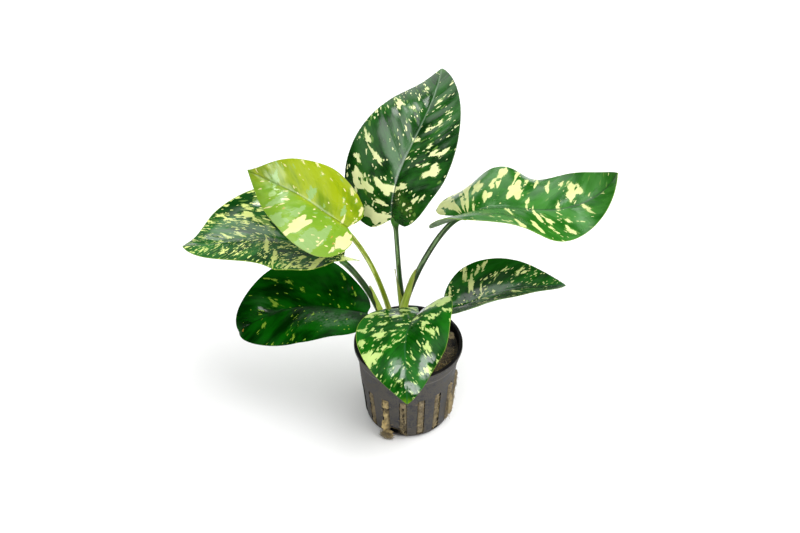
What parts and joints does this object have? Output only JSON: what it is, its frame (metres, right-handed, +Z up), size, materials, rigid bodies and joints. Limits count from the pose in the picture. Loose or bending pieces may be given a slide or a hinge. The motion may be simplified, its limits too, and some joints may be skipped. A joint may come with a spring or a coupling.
{
  "type": "variegated anubias barteri in a net pot",
  "caption": "Variegated broad-leaved anubias with glossy green blades flecked cream, on stalks from a rhizome, growing in rock wool in a black slotted net pot.",
  "frame": {"origin": "middle of the pot's flat underside", "axes": "+Z up the pot's axis, +X to the right along the widest spread of the leaves, +Y away from the front, where one leaf hangs over the rim"},
  "size_m": [0.2119, 0.1369, 0.155],
  "materials": {
    "pot": "charcoal moulded plastic with a dull sheen",
    "rock_wool": "damp matted mineral fibre, olive brown",
    "rhizome": "green to brown ringed skin",
    "leaf": "glossy dark green with cream flecks",
    "young_leaf": "glossy yellow-green with cream patches",
    "dark_leaf": "wet glossy green, nearly black",
    "stalk": "smooth green stalk",
    "young_stalk": "smooth yellow-green stalk",
    "sheath": "thin pale green sheath"
  },
  "bodies": {
    "root": {"pot": "pot", "rock_wool": "rock_wool", "rhizome": "rhizome", "leaf_top": "leaf", "leaf_young": "young_leaf", "leaf_left": "leaf", "leaf_dark": "dark_leaf", "leaf_front": "leaf", "leaf_lower_right": "leaf", "leaf_upper_right": "leaf", "stalk_top": "stalk", "stalk_young": "young_stalk", "stalk_left": "stalk", "stalk_dark": "stalk", "stalk_front": "stalk", "stalk_lower_right": "stalk", "stalk_upper_right": "stalk", "sheath_top": "sheath", "sheath_left": "sheath", "sheath_upper_right": "sheath"}
  },
  "joints": []
}
